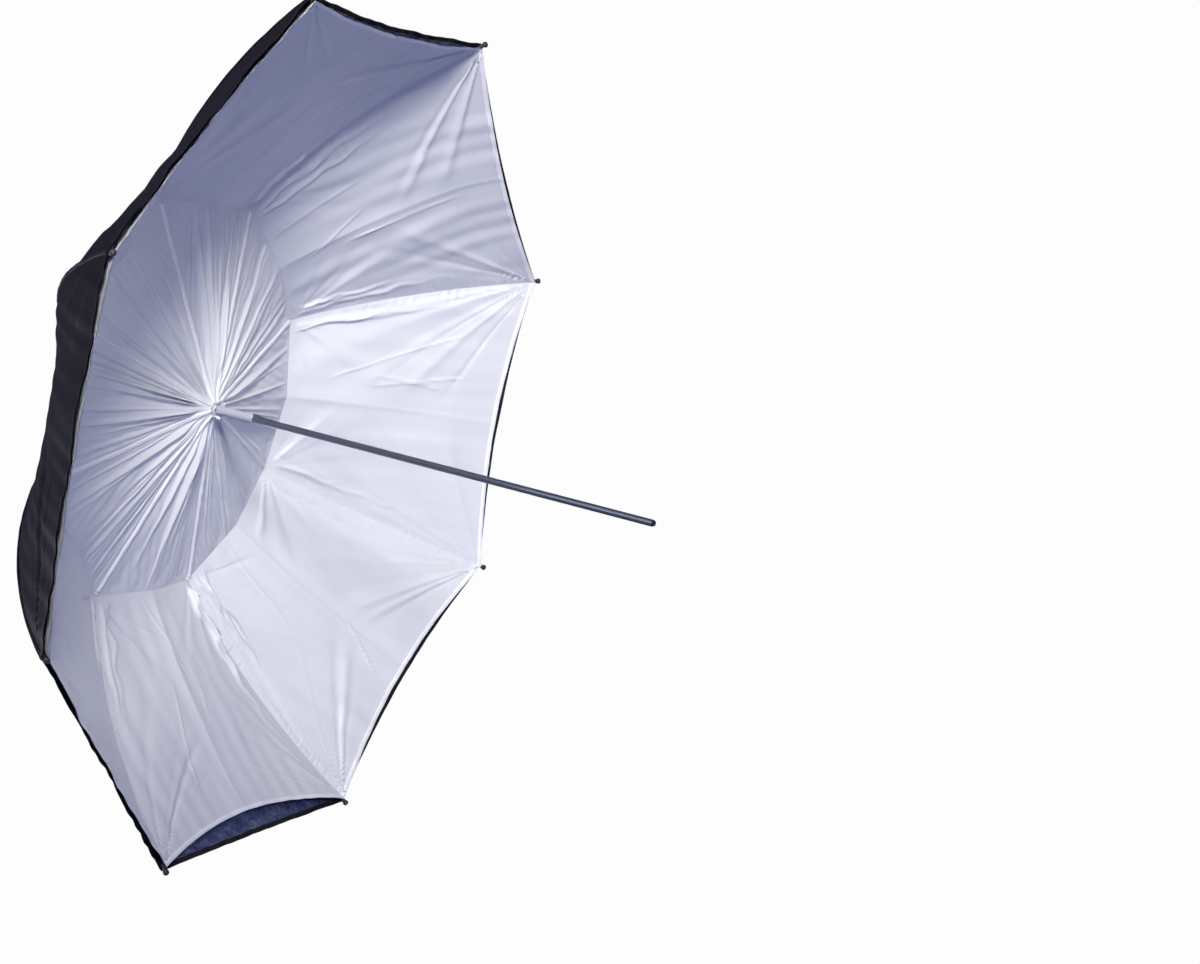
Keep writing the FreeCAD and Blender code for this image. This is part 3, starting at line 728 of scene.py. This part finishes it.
FINISHES = {
    "shaft": tube_steel,
    "end_plug": black_plastic,
    "crown": black_plastic,
    "crown_wire": spring_steel,
    "crown_cap": black_plastic,
    "cover_patch": nylon,
    "runner": plastic_white_painted_shade,
    "runner_wire": spring_steel,
    "hub_collar": plastic_white_painted_shade,
    "catch_spring": spring_steel,
}
for rib in range(1, RIBS + 1):
    FINISHES[f"rib_{rib}"] = black_steel
    FINISHES[f"stretcher_{rib}"] = black_steel
    FINISHES[f"rib_tip_{rib}"] = tip_nylon
for node, material in FINISHES.items():
    for slot in frame["nodes"][node].material_slots:
        slot.material = material

# ---- floor, light and camera ---------------------------------------------------------------------------

FLOOR_HEIGHT = -2.4
FLOOR_HALF = 12
WARM = "#fffcf6"
NEUTRAL = "#f4f6ff"
COOL = "#bac4ff"


def plain_colours():
    """Shows the cloth's and the light's colours as they are, without a film curve."""
    bpy.context.scene.view_settings.view_transform = "Standard"


def make_floor():
    """A pale floor well below the umbrella, which lights neither its cloth nor its metal."""
    floor_material, _, shader = surface_material("pale_floor", roughness=0.9, emission_strength=0.8)
    shader.inputs["Base Color"].default_value = colour("#3c3c3c")
    shader.inputs["Emission Color"].default_value = colour("#f1f1f2")
    bm = bmesh.new()
    bmesh.ops.create_grid(bm, x_segments=1, y_segments=1, size=FLOOR_HALF)
    bmesh.ops.translate(bm, verts=bm.verts[:], vec=(0, 0, FLOOR_HEIGHT))
    floor = finish_piece(bm, "floor", [floor_material])
    floor.visible_diffuse = False
    floor.visible_glossy = False


def make_world():
    """A white backdrop for the camera, and a dim cool light from all round for everything else."""
    world = bpy.data.worlds.new("studio")
    bpy.context.scene.world = world
    world.use_nodes = True
    tree = world.node_tree
    tree.nodes.clear()
    seen = add(tree, "Background", color=colour("#fdfdfd"), strength=1.0)
    fill = add(tree, "Background", color=colour("#a4b1ff"), strength=0.22)
    path = add(tree, "LightPath")
    mix = add(tree, "MixShader", {0: path.outputs["Is Camera Ray"]})
    tree.links.new(fill.outputs[0], mix.inputs[1])
    tree.links.new(seen.outputs[0], mix.inputs[2])
    add(tree, "OutputWorld", {"Surface": mix.outputs[0]})


def area_light(name, place, target, size, watts, tint, spread):
    """A round lamp at a place, turned to a target, whose light spreads over an angle in degrees."""
    light = bpy.data.lights.new(name, "AREA")
    light.shape = "DISK"
    light.size = size
    light.energy = watts
    light.spread = math.radians(spread)
    light.color = colour(tint)[:3]
    lamp = bpy.data.objects.new(name, light)
    lamp.matrix_world = Matrix.LocRotScale(
        Vector(place), (Vector(target) - Vector(place)).to_track_quat("-Z", "Y"), None
    )
    bpy.context.collection.objects.link(lamp)


def make_lights():
    """The key falls across the bowl, inner lights its hub, and the others fill and edge the cover."""
    middle = Vector((0, 0, 0.2))
    bowl, hub = (-0.12, 0.42, 0.15), (0.07, -0.12, 0.28)
    for name, away, toward, target, size, watts, tint, spread in (
        ("key", 3.2, (0.78, -0.50, -0.37), bowl, 0.7, 7, WARM, 40),
        ("inner", 3.0, (0.58, -0.36, -0.73), hub, 0.4, 0.22, WARM, 18),
        ("sky", 3.2, (-0.35, -0.45, -0.82), middle, 2.2, 20, COOL, 180),
        ("back", 3.0, (-0.55, -0.25, 0.8), middle, 1.2, 36, NEUTRAL, 180),
        ("far", 3.0, (-0.5, 0.78, 0.35), middle, 1.2, 40, NEUTRAL, 180),
        ("rim", 3.0, (0.49, -0.78, 0.39), middle, 0.5, 10, NEUTRAL, 180),
    ):
        area_light(name, middle + away * Vector(toward), target, size, watts, tint, spread)


def make_camera():
    """A camera that looks up into the bowl from its open side, with the shaft pointing to the right."""
    lens = bpy.data.cameras.new("camera")
    lens.sensor_width = 36
    lens.lens = 65.23
    camera = bpy.data.objects.new("camera", lens)
    right = Vector((0.0285, 0.4321, -0.9014))
    up = Vector((0.8754, 0.4246, 0.2312))
    away = Vector((0.4826, -0.7956, -0.3661))
    turn = Matrix((right, up, away)).transposed().to_4x4()
    camera.matrix_world = Matrix.Translation((1.17696, -1.88418, -1.12448)) @ turn
    bpy.context.collection.objects.link(camera)
    bpy.context.scene.camera = camera


plain_colours()
make_floor()
make_world()
make_lights()
make_camera()
